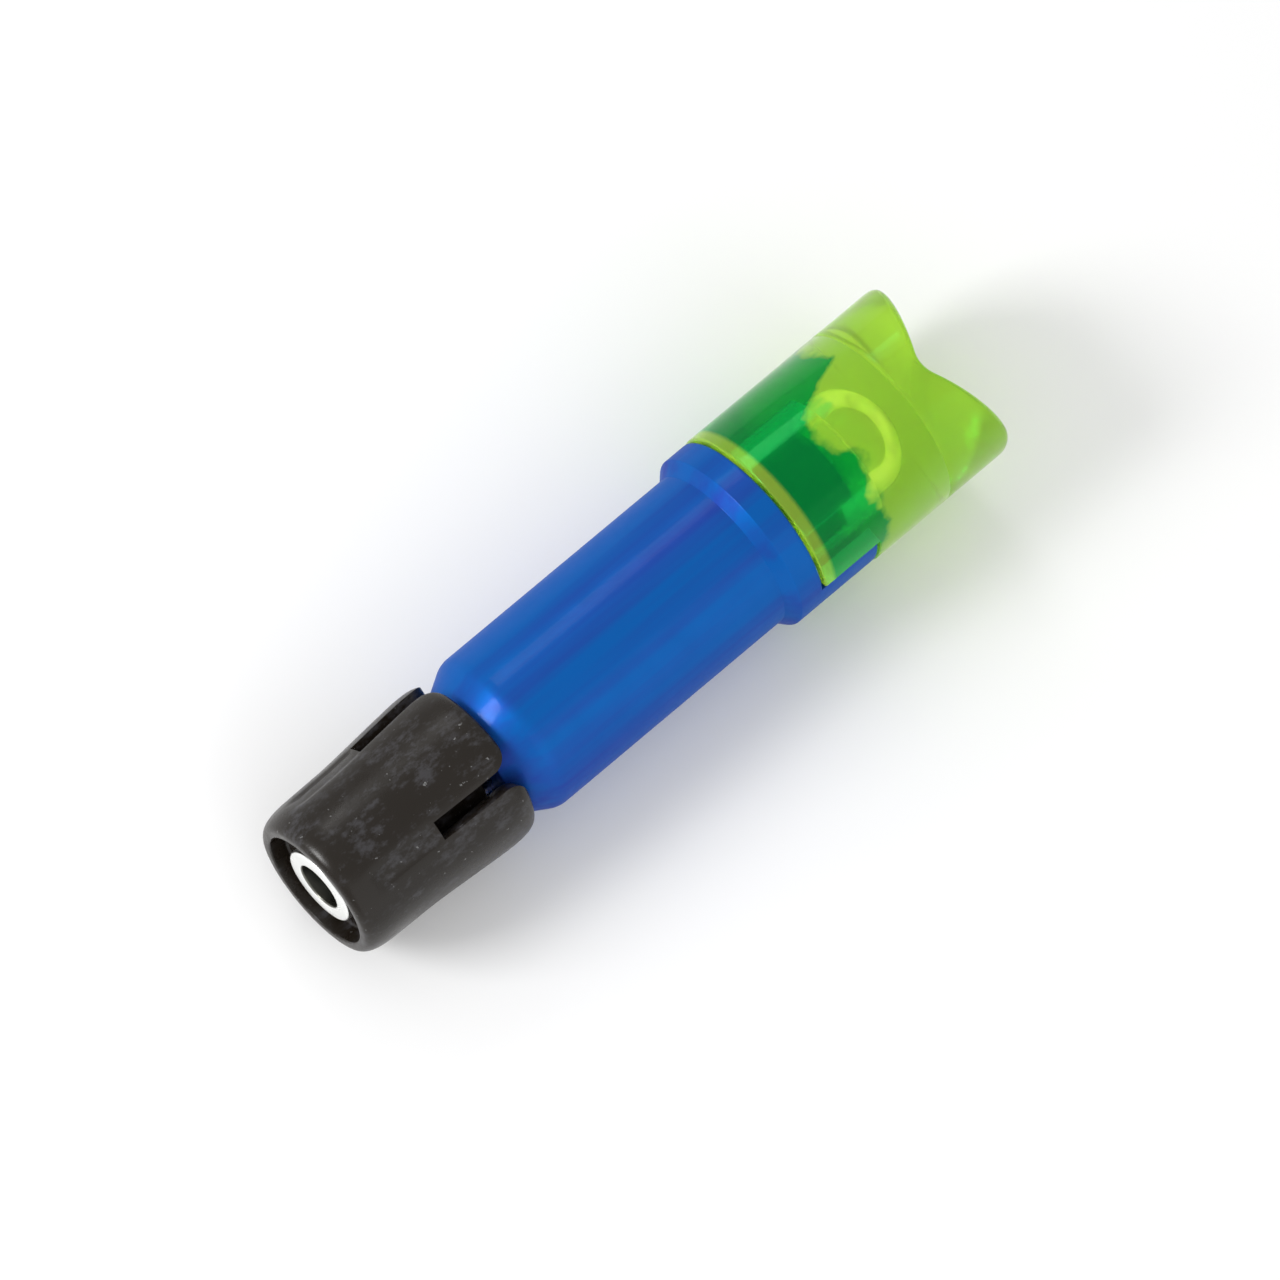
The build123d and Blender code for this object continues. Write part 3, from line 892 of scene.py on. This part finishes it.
# ------------------------------------------------------------------ the nock
@dataclass
class Nock:
    """The clear green nock: string groove, head, keyway, hollow stem."""

    head_r: float = field(default_factory=lambda: reach("nock")[1].z)
    tip_x: float = 12.5
    stem_end_x: float = field(default_factory=lambda: reach("nock")[0].x)
    collar_gap: float = 0.12
    collar_x: float = 1.7
    key_end_x: float = field(default_factory=lambda: reach("barrel")[1].x)
    keyway_half_deg: float = 18.2
    stem_r: float = 2.90
    bore_r: float = 1.90
    bore_end_x: float = 6.2
    dome_x: float = 6.9
    dome_r: float = 1.58
    groove_x: float = 10.5
    groove_r: float = 1.3
    groove_deg: float = 27.5
    crest_r: float = 1.2
    ear_soft: float = 0.55
    valley_soft: float = 0.20
    witness_x: float = 8.9
    witness_depth: float = 0.03

    def groove(self, y: float) -> float:
        """Where the string groove's surface stands.

        Args:
            y: Distance from the groove's middle.

        Returns:
            The surface's place along X.
        """
        turn = math.radians(self.groove_deg)
        low_y = self.groove_r * math.sin(turn)
        low_x = self.groove_x + self.groove_r * (1 - math.cos(turn))
        crest_x = self.tip_x - self.crest_r * (1 - math.cos(turn))
        crest_low_y = low_y + (crest_x - low_x) / math.tan(turn)
        crest_y = crest_low_y + self.crest_r * math.sin(turn)
        y = abs(y)
        if y < low_y:
            return self.groove_x + self.groove_r - math.sqrt(self.groove_r**2 - y * y)
        if y < crest_low_y:
            return low_x + (y - low_y) * math.tan(turn)
        if y < crest_y:
            return self.tip_x - self.crest_r + math.sqrt(self.crest_r**2 - (crest_y - y) ** 2)
        return self.tip_x

    def ring_room(self, ring: str) -> list[Corner]:
        """The groove that a rubber ring sits in.

        Args:
            ring: The ring's CAD node.

        Returns:
            Its corners, from the front to the back.
        """
        low, high = reach(ring)
        floor_r = high.z - (high.x - low.x)
        return [
            Corner(high.x + 0.05, self.stem_r, 0.03),
            Corner(high.x + 0.05, floor_r, 0.06),
            Corner(low.x - 0.05, floor_r, 0.06),
            Corner(low.x - 0.05, self.stem_r, 0.03),
        ]

    def outline(self, angle: float, keyed: bool) -> list[Point]:
        """The nock's half section at an angle.

        Args:
            angle: Angle from +Y towards +Z, in radians.
            keyed: True inside the keyway.

        Returns:
            Points from the groove's middle, round the outside, to the lamp pocket's end.
        """
        cap_rows, corner_rows, side_rows = 44, 8, 10
        across = math.cos(angle)
        rise = (self.groove(self.head_r * across) - self.groove_x) / (self.tip_x - self.groove_x)
        soft = self.valley_soft + (self.ear_soft - self.valley_soft) * eased(rise)
        flat_r = self.head_r - soft
        steps = [flat_r * i / cap_rows for i in range(cap_rows + 1)]
        points = [(self.groove(r * across), r) for r in steps]
        for i in range(1, corner_rows + 1):
            turn = 0.5 * math.pi * i / corner_rows
            r = flat_r + soft * math.sin(turn)
            points.append((self.groove(r * across) - soft * (1 - math.cos(turn)), r))
        side_x, line_x = points[-1][0], self.witness_x + 0.06
        sides = [i / side_rows for i in range(1, side_rows + 1)]
        points += [(side_x + (line_x - side_x) * t, self.head_r) for t in sides]
        points += [
            (self.witness_x, self.head_r - self.witness_depth),
            (self.witness_x - 0.06, self.head_r),
        ]
        way_x = self.key_end_x + self.collar_gap
        points.append((way_x + 0.08, self.head_r))
        back_x = way_x if keyed else self.collar_x + self.collar_gap
        points += softened(
            [
                Corner(back_x + 1, self.head_r),
                Corner(back_x, self.head_r, 0.07 if keyed else 0.12),
                Corner(back_x, self.stem_r),
            ]
        )[1:-1]
        points.append((back_x, self.stem_r + 0.1))
        if keyed:
            points.append((back_x, self.stem_r))
        else:
            points.append((back_x, self.stem_r + 0.05))
        points.append((self.collar_x + self.collar_gap, self.stem_r))
        points += self.inside()
        return points

    def inside(self) -> list[Point]:
        """The stem and the bore, which are the same at every angle.

        Returns:
            Points from the stem's front to the end of the lamp's room.
        """
        stem = softened(
            [
                Corner(self.collar_x, self.stem_r),
                *self.ring_room("seal_ring"),
                *self.ring_room("latch_ring"),
                Corner(self.stem_end_x + 0.3, self.stem_r, 0.05),
                Corner(self.stem_end_x, self.stem_r - 0.3, 0.05),
                Corner(self.stem_end_x, self.bore_r, 0.08),
                Corner(self.bore_end_x, self.bore_r, 0.04),
                Corner(self.bore_end_x, self.dome_r, 0.04),
                Corner(self.dome_x, self.dome_r),
            ],
            steps=4,
        )
        dome = [
            (
                self.dome_x + self.dome_r * math.sin(0.5 * math.pi * i / 12),
                self.dome_r * math.cos(0.5 * math.pi * i / 12),
            )
            for i in range(1, 12)
        ]
        return stem + dome + [(self.dome_x + self.dome_r, 0.0)]

    def build(self, material: bpy.types.Material) -> bpy.types.Object:
        """Make, dress and place the nock.

        Args:
            material: The green plastic.

        Returns:
            The piece.
        """
        vertices, faces = swept(self.outline, keyed_columns(176, self.keyway_half_deg))
        piece = finish_mesh("nock_body", vertices, faces, sharp=40)
        dress(piece, material)
        stand_in(piece, "nock", "nock")
        return piece


# ------------------------------------------------------------------ the barrel
@dataclass
class Barrel:
    """The anodised barrel: nose cone, spigot, shoulder, collar and key."""

    spigot_r: float = 3.81
    collar_r: float = field(default_factory=lambda: reach("barrel")[1].z)
    shoulder_x: float = 0.51
    collar_x: float = 1.7
    key_end_x: float = field(default_factory=lambda: reach("barrel")[1].x)
    key_half_deg: float = 17.0
    nose_x: float = -12.4
    nose_soft: float = 1.2
    nose_deg: float = 30.0
    back_x: float = field(default_factory=lambda: reach("barrel")[0].x)
    bore_r: float = 2.95
    relief_r: float = 3.20
    relief: Point = (-5.025, -2.975)
    step_x: float = -6.2
    cell_bore_r: float = 1.90
    tail_wall_x: float = field(default_factory=lambda: reach("cell_sleeve")[0].x)
    bush_r: float = 1.50

    def outline(self, angle: float, keyed: bool) -> list[Point]:
        """The barrel's half section at an angle, closed, from the back round the outside.

        Args:
            angle: Not used: the outline changes only at the key.
            keyed: True inside the key.

        Returns:
            The outline's points.
        """
        slope = math.tan(math.radians(self.nose_deg))
        back_r = self.spigot_r - (self.nose_x - self.back_x) * slope
        outside = softened(
            [
                Corner(self.back_x, self.bush_r),
                Corner(self.back_x, back_r, 0.10),
                Corner(self.nose_x, self.spigot_r, self.nose_soft),
                Corner(0.0, self.spigot_r, 0.05),
                Corner(self.shoulder_x, self.collar_r, 0.10),
                Corner(self.collar_x - 0.15, self.collar_r),
            ],
            steps=6,
        )
        front_x = self.key_end_x if keyed else self.collar_x
        front = softened(
            [
                Corner(self.collar_x - 0.3, self.collar_r),
                Corner(front_x, self.collar_r, 0.09),
                Corner(front_x, self.bore_r, 0.09),
                Corner(self.collar_x - 0.3, self.bore_r),
            ]
        )[1:-1]
        inside = softened(
            [
                Corner(self.collar_x - 0.15, self.bore_r),
                Corner(self.relief[1], self.bore_r),
                Corner(self.relief[1], self.relief_r),
                Corner(self.relief[0], self.relief_r),
                Corner(self.relief[0], self.bore_r),
                Corner(self.step_x, self.bore_r),
                Corner(self.step_x, self.cell_bore_r),
                Corner(self.tail_wall_x, self.cell_bore_r),
                Corner(self.tail_wall_x, self.bush_r),
            ]
        )
        return outside + front + inside

    def build(self, material: bpy.types.Material) -> bpy.types.Object:
        """Make, dress and place the barrel.

        Args:
            material: The anodised finish.

        Returns:
            The piece.
        """
        vertices, faces = swept(self.outline, keyed_columns(160, self.key_half_deg), closed_rows=True)
        piece = finish_mesh("barrel_body", vertices, faces)
        soften_edges(piece, 0.05, 60)
        dress(piece, material)
        stand_in(piece, "barrel", "barrel")
        return piece


def soften_edges(piece: bpy.types.Object, width_mm: float, angle_deg: float, segments: int = 3) -> None:
    """Round the crisp edges of a piece.

    Args:
        piece: The piece.
        width_mm: The rounding's width.
        angle_deg: Edges that turn by more than this are rounded.
        segments: Faces across the rounding.
    """
    bevel = piece.modifiers.new("soft_edges", "BEVEL")
    bevel.width = width_mm * MM
    bevel.segments = segments
    bevel.limit_method = "ANGLE"
    bevel.angle_limit = math.radians(angle_deg)
    baked(piece)


# ------------------------------------------------------------------ the collet
@dataclass
class Collet:
    """The black collet: four fingers on a hub, a rounded back and a recess."""

    tip_x: float = field(default_factory=lambda: reach("collet")[1].x)
    back_x: float = field(default_factory=lambda: reach("collet")[0].x)
    wide_r: float = 3.84
    wide_x: float = -15.1
    waist_r: float = 3.57
    waist_x: float = -19.3
    round_x: float = -21.25
    rim_r: float = 3.0
    lip_out_r: float = 3.502
    lip_in_r: float = 3.252
    finger_bore_r: float = 2.98
    flare_x: float = -14.27
    floor_x: float = -18.6
    hub_x: float = -14.9
    hub_r: float = 2.15
    bore_r: float = 1.55
    recess_x: float = -21.88
    recess_r: float = 2.72
    slot_x: float = -18.0
    slot_w: float = 0.92
    mouth_r: float = 0.9
    first_slot_deg: float = 59.0
    slots: int = 4
    relief_depth: float = 0.09
    relief_end_x: float = -21.3

    def skin_r(self, x: float) -> float:
        """The collet's outer radius, from the round back to the finger tips.

        Args:
            x: The place along the axis.

        Returns:
            The radius.
        """
        if x > self.wide_x:
            t = (x - self.wide_x) / (self.tip_x - self.wide_x)
            return self.wide_r - (self.wide_r - self.lip_out_r) * (1 - math.sqrt(1 - min(t, 1) ** 3.2))
        if x > self.waist_x:
            t = (x - self.waist_x) / (self.wide_x - self.waist_x)
            return self.waist_r + (self.wide_r - self.waist_r) * (0.72 * t + 0.28 * eased(t))
        return self.waist_r - 0.03 * (self.waist_x - x) / (self.waist_x - self.round_x)

    def inner_r(self, x: float) -> float:
        """The radius of the fingers' inner face at x."""
        t = (x - self.flare_x) / (self.tip_x - self.flare_x)
        return self.finger_bore_r + (self.lip_in_r - self.finger_bore_r) * min(max(t, 0), 1)

    def finger_xs(self) -> list[float]:
        """Places of the rows along a finger, closer where its corners turn.

        Returns:
            The places, from the slot's end to the tip.
        """
        straight_end = self.tip_x - self.mouth_r
        straight = np.linspace(self.slot_x, straight_end, 22)
        turn = np.linspace(0, 0.5 * math.pi, 13)[1:]
        return [*map(float, straight), *(straight_end + self.mouth_r * math.sin(a) for a in turn)]

    def half_width(self, x: float) -> float:
        """Half the slot's width, which opens out between the finger tips.

        Args:
            x: The place along the axis.

        Returns:
            Half the width.
        """
        into = x - (self.tip_x - self.mouth_r)
        if into <= 0:
            return 0.5 * self.slot_w
        return 0.5 * self.slot_w + self.mouth_r - math.sqrt(max(self.mouth_r**2 - into**2, 0))

    def back_rows(self) -> tuple[list[Point], list[Point]]:
        """The rows behind the slots.

        Returns:
            Those inside, up to the back, and those outside.
        """
        inside = softened(
            [
                Corner(self.slot_x, self.finger_bore_r),
                Corner(self.floor_x, self.finger_bore_r, 0.2),
                Corner(self.floor_x, self.hub_r, 0.1),
                Corner(self.hub_x, self.hub_r, 0.12),
                Corner(self.hub_x, self.bore_r, 0.1),
                Corner(self.recess_x, self.bore_r, 0.08),
                Corner(self.recess_x, self.recess_r, 0.15),
                Corner(self.back_x, self.recess_r, 0.08),
                Corner(self.back_x, self.rim_r - 0.06),
            ],
            steps=4,
        )[1:]
        outside = []
        start_r = self.skin_r(self.round_x)
        for i in range(15):
            turn = 0.5 * math.pi * i / 14
            outside.append(
                (
                    self.back_x + (self.round_x - self.back_x) * (1 - math.cos(turn) ** 0.86),
                    self.rim_r + (start_r - self.rim_r) * math.sin(turn) ** 0.86,
                )
            )
        middle_xs = np.linspace(self.round_x, self.slot_x, 18)[1:-1]
        outside += [(float(x), self.skin_r(float(x))) for x in middle_xs]
        return inside, outside

    def column_angles(self, half_width: float, r: float) -> list[float]:
        """Angles of a sector's columns from one slot's middle to the next.

        Args:
            half_width: Half the slot's width at this row.
            r: The row's radius.

        Returns:
            The angles, with the slot's edges at fixed places in the list.
        """
        quarter = 2 * math.pi / self.slots
        edge = math.asin(min(half_width / r, 0.95))
        slot_steps, finger_steps = 4, 30
        angles = [edge * i / slot_steps for i in range(slot_steps)]
        angles += [edge + (quarter - 2 * edge) * i / finger_steps for i in range(finger_steps)]
        angles += [quarter - edge + edge * i / slot_steps for i in range(slot_steps + 1)]
        return angles

    def relief(self, x: float, column: int, last: int) -> float:
        """How far the shallow run-out behind a slot lies under the skin.

        Args:
            x: The row's place along the axis.
            column: The column's number in its sector.
            last: The last column's number.

        Returns:
            The depth.
        """
        if x >= self.slot_x or x <= self.relief_end_x - 0.5:
            return 0.0
        near = min(column, last - column)
        across = eased((4.6 - near) / 1.6)
        along = eased((x - self.relief_end_x + 0.5) / 0.8)
        return self.relief_depth * across * along

    def sector(self) -> tuple[list[Sequence[float]], list[list[int]]]:
        """One finger with its share of the back.

        Returns:
            Vertices in millimetres and faces.
        """
        xs = self.finger_xs()
        inside, outside = self.back_rows()
        rows: list[tuple[float, float, float]] = []
        for x in xs:
            rows.append((x, self.skin_r(x), self.half_width(x)))
        first_inner = len(rows)
        for x in reversed(xs):
            rows.append((x, self.inner_r(x), self.half_width(x)))
        last_inner = len(rows) - 1
        rows += [(x, r, 0.5 * self.slot_w) for x, r in inside + outside]
        last = len(self.column_angles(0.5 * self.slot_w, self.wide_r)) - 1
        vertices: list[Sequence[float]] = []
        for x, r, half in rows:
            for column, angle in enumerate(self.column_angles(half, r)):
                depth = self.relief(x, column, last) if r > self.rim_r else 0.0
                vertices.append((x, (r - depth) * math.sin(angle), (r - depth) * math.cos(angle)))
        wide = last + 1
        faces: list[list[int]] = []
        edges = (4, last - 4)
        for row in range(len(rows)):
            below = (row + 1) % len(rows)
            cut = row < last_inner
            for column in range(last):
                if cut and not edges[0] <= column < edges[1]:
                    continue
                a, b = row * wide + column, below * wide + column
                faces.append([a, b, b + 1, a + 1])
        for column in edges:
            for row in range(first_inner - 1):
                mate = last_inner - row
                a, b = row * wide + column, (row + 1) * wide + column
                faces.append([a, b, (mate - 1) * wide + column, mate * wide + column])
        for column in [*range(edges[0]), *range(edges[1], last)]:
            a, b = column, last_inner * wide + column
            faces.append([a, b, b + 1, a + 1])
        return vertices, faces

    def build(self, material: bpy.types.Material) -> bpy.types.Object:
        """Make, dress and place the collet.

        Args:
            material: The black nylon.

        Returns:
            The piece.
        """
        vertices, faces = self.sector()
        turn = Matrix.Rotation(-math.radians(self.first_slot_deg), 3, "X")
        piece = finish_mesh("collet_body", [tuple(turn @ Vector(v)) for v in vertices], faces)
        grown(piece, polar_tree(), {"Count": self.slots, "Weld": 2e-6, "Material": material})
        soften_edges(piece, 0.07, 42)
        dress(piece, material)
        stand_in(piece, "collet", "collet")
        return piece


# ------------------------------------------------------------------ the tail bush
@dataclass
class TailBush:
    """The hollow silver bush that holds the collet on the barrel."""

    back_x: float = field(default_factory=lambda: reach("tail_bush")[0].x)
    front_x: float = field(default_factory=lambda: reach("tail_bush")[1].x)
    head_r: float = field(default_factory=lambda: reach("tail_bush")[1].z)
    head_x: float = -21.9
    shank_r: float = 1.5
    bore_r: float = 1.07

    def build(self, material: bpy.types.Material) -> bpy.types.Object:
        """Make, dress and place the bush.

        Args:
            material: The nickel plating.

        Returns:
            The piece.
        """
        piece = turned(
            "tail_bush_body",
            [
                Corner(self.back_x, self.bore_r, 0.12),
                Corner(self.back_x, self.head_r, 0.12),
                Corner(self.head_x, self.head_r, 0.04),
                Corner(self.head_x, self.shank_r),
                Corner(self.front_x, self.shank_r),
                Corner(self.front_x, self.bore_r, 0.06),
            ],
        )
        dress(piece, material)
        stand_in(piece, "tail_bush", "barrel")
        return piece


# ------------------------------------------------------------------ the lamp and the cell
@dataclass
class Lamp:
    """The lamp in the nock's stem: lens, leads, holder and contacts."""

    lens_r: float = field(default_factory=lambda: reach("led_lens")[1].z)
    lens_x: Point = field(
        default_factory=lambda: (reach("led_lens")[0].x, reach("led_lens")[1].x)
    )
    holder_r: float = field(default_factory=lambda: reach("lamp_holder")[1].z)
    holder_x: Point = field(
        default_factory=lambda: (reach("lamp_holder")[0].x, reach("lamp_holder")[1].x)
    )
    holder_bore_r: float = 1.54

    def build(self, finishes: Finishes) -> None:
        """Make, dress and place the lamp's pieces.

        Args:
            finishes: The object's finishes.
        """
        dome_x = self.lens_x[1] - self.lens_r
        dome = [
            Corner(
                dome_x + self.lens_r * math.sin(0.5 * math.pi * i / 14),
                self.lens_r * math.cos(0.5 * math.pi * i / 14),
            )
            for i in range(14)
        ]
        lens = turned(
            "lamp_lens",
            [
                Corner(self.lens_x[0], 0.0),
                Corner(self.lens_x[0], self.lens_r, 0.06),
                *dome,
                Corner(self.lens_x[1], 0.0),
            ],
            closed=False,
        )
        dress(lens, finishes.epoxy)
        stand_in(lens, "led_lens", "nock")
        holder = turned(
            "lamp_sleeve",
            [
                Corner(self.holder_x[0], self.holder_bore_r, 0.04),
                Corner(self.holder_x[0], self.holder_r, 0.08),
                Corner(self.holder_x[1], self.holder_r, 0.08),
                Corner(self.holder_x[1], self.holder_bore_r, 0.08),
            ],
        )
        dress(holder, finishes.holder)
        stand_in(holder, "lamp_holder", "nock")
        for node, material in (
            ("led_anode", finishes.lead),
            ("led_cathode", finishes.lead),
            ("led_chip", finishes.die),
            ("pin_socket", finishes.brass),
            ("contact_ring", finishes.brass),
        ):
            dress(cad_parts[node], material)


@dataclass
class RubberRings:
    """The two rings on the stem."""

    def build(self, material: bpy.types.Material) -> None:
        """Make, dress and place the rings.

        Args:
            material: The rubber.
        """
        for node, name in (("seal_ring", "mouth_ring"), ("latch_ring", "catch_ring")):
            low, high = reach(node)
            cord_r = 0.5 * (high.x - low.x)
            mid_x, mean_r = 0.5 * (low.x + high.x), high.z - cord_r
            circle = [
                Corner(
                    mid_x + cord_r * math.cos(2 * math.pi * i / 20),
                    mean_r + cord_r * math.sin(2 * math.pi * i / 20),
                )
                for i in range(20)
            ]
            ring = turned(name, circle, count=72)
            dress(ring, material)
            stand_in(ring, node, "nock")


@dataclass
class Cell:
    """The pin cell, its sleeve, and the spring that takes up its slack."""

    turns: float = 2.75
    wire_r: float = 0.10

    def build(self, finishes: Finishes) -> None:
        """Make, dress and place the cell's pieces.

        Args:
            finishes: The object's finishes.
        """
        low, high = reach("cell_can")
        gasket_r = reach("cell_gasket")[1].z
        can = turned(
            "cell_case",
            [
                Corner(low.x, 0.0),
                Corner(low.x, high.z, 0.18),
                Corner(high.x - 0.45, high.z, 0.05),
                Corner(high.x - 0.40, high.z - 0.06, 0.03),
                Corner(high.x - 0.30, high.z - 0.06, 0.03),
                Corner(high.x - 0.25, high.z, 0.05),
                Corner(high.x, high.z, 0.15),
                Corner(high.x, gasket_r, 0.05),
                Corner(high.x - 0.7, gasket_r),
                Corner(high.x - 0.7, 0.0),
            ],
            closed=False,
        )
        dress(can, finishes.steel)
        stand_in(can, "cell_can", "barrel")
        low, high = reach("cell_spring")
        spring = finish_mesh("cell_coil", [(0, 0, 0), (1, 0, 0), (0, 1, 0)], [[0, 1, 2]])
        grown(
            spring,
            coil_tree(),
            {
                "Turns": self.turns,
                "Coil Radius": (high.z - self.wire_r) * MM,
                "Length": (high.x - low.x - 2 * self.wire_r) * MM,
                "Wire Radius": self.wire_r * MM,
                "Start": (low.x + self.wire_r) * MM,
                "Material": finishes.steel,
            },
        )
        stand_in(spring, "cell_spring", "barrel")
        for node, material in (
            ("cell_sleeve", finishes.film),
            ("cell_gasket", finishes.gasket),
            ("cell_pin", finishes.brass),
            ("spring_washer", finishes.steel),
        ):
            dress(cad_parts[node], material)


# ------------------------------------------------------------------ studio
@dataclass
class Studio:
    """Camera, soft lights and the pale floor."""

    tilt_deg: float = 17.0
    lean_deg: float = 8.0
    rise_deg: float = 39.9
    distance: float = 0.55
    view_width: float = 0.0529
    aim_mm: Point = (-3.386, -3.713)
    sky: float = 0.72
    floor_side: float = 3.0
    floor_gap: float = 0.00005

    def axes(self) -> tuple[Vector, Vector, Vector]:
        """The camera's directions in the row frame.

        Returns:
            Right, up and backward.
        """
        tilt, lean = math.radians(self.tilt_deg), math.radians(self.lean_deg)
        back = Vector(
            (-math.sin(tilt), -math.cos(tilt) * math.sin(lean), math.cos(tilt) * math.cos(lean))
        )
        along = (Vector((1, 0, 0)) - back * back.x).normalized()
        across = back.cross(along)
        rise = math.radians(self.rise_deg)
        right = math.cos(rise) * along - math.sin(rise) * across
        up = math.sin(rise) * along + math.cos(rise) * across
        return right, up, back

    def camera(self) -> None:
        """Set the camera where the object is seen along its string groove from behind."""
        right, up, back = self.axes()
        aim = (right * self.aim_mm[0] + up * self.aim_mm[1]) * MM
        data = bpy.data.cameras.new("camera")
        data.sensor_width = 36
        data.lens = data.sensor_width * self.distance / self.view_width
        data.clip_start = 0.01
        camera = bpy.data.objects.new("camera", data)
        turn = Matrix((right, up, back)).transposed().to_4x4()
        camera.matrix_world = Matrix.Translation(aim + back * self.distance) @ turn
        bpy.context.scene.collection.objects.link(camera)
        bpy.context.scene.camera = camera

    def softbox(self, name: str, toward: Vector, size: float, power: float, distance: float = 0.25) -> None:
        """Hang a square light that faces the object.

        Args:
            name: The light's name.
            toward: Direction from the object to the light.
            size: Its side, in metres.
            power: Its power, in watts.
            distance: How far away it hangs, in metres.
        """
        data = bpy.data.lights.new(name, "AREA")
        data.shape = "SQUARE"
        data.size = size
        data.energy = power
        light = bpy.data.objects.new(name, data)
        light.location = toward.normalized() * distance
        light.rotation_euler = toward.to_track_quat("Z", "Y").to_euler()
        bpy.context.scene.collection.objects.link(light)

    def build(self) -> None:
        """Set up the whole studio."""
        self.camera()
        right, up, back = self.axes()
        along, across = (right + up).normalized(), (up - right).normalized()
        self.softbox("key", back * 0.45 + along * 0.44 + across * 0.78, 0.07, 0.05)
        self.softbox("fill", back * 0.55 - across * 0.85, 0.40, 0.30, 0.32)
        self.softbox("tail_light", back * 0.70 - along * 0.50 + across * 0.50, 0.08, 0.34)
        self.softbox("tail_fill", -along + across * 0.1 + back * 0.05, 0.18, 0.10, 0.30)
        world = bpy.data.worlds.new("studio")
        world.use_nodes = True
        world.node_tree.nodes["Background"].inputs["Color"].default_value = (1, 1, 1, 1)
        world.node_tree.nodes["Background"].inputs["Strength"].default_value = self.sky
        bpy.context.scene.world = world
        bpy.context.scene.view_settings.view_transform = "Standard"
        self.floor()

    def floor(self) -> None:
        """Lay the pale floor under the object's lowest point."""
        side, drop = self.floor_side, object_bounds()[0][2] - self.floor_gap
        mesh = bpy.data.meshes.new("floor")
        corners = [(-side, -side, drop), (side, -side, drop), (side, side, drop), (-side, side, drop)]
        mesh.from_pydata(corners, [], [(0, 1, 2, 3)])
        floor = bpy.data.objects.new("floor", mesh)
        bpy.context.scene.collection.objects.link(floor)
        paint = Paint("floor_paper")
        paint.set(Base_Color=(0.92, 0.92, 0.92, 1), Roughness=0.9, Specular_IOR_Level=0.1)
        mesh.materials.append(paint.material)
        floor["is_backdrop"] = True


def main() -> None:
    """Build the object's pieces in order and set up the studio."""
    logging.basicConfig(level=logging.INFO, format="%(name)s %(message)s")
    finishes = Finishes()
    Nock().build(finishes.green)
    Barrel().build(finishes.anodised)
    Collet().build(finishes.nylon)
    TailBush().build(finishes.nickel)
    Lamp().build(finishes)
    RubberRings().build(finishes.rubber)
    Cell().build(finishes)
    Studio().build()


if __name__ == "__main__":
    main()
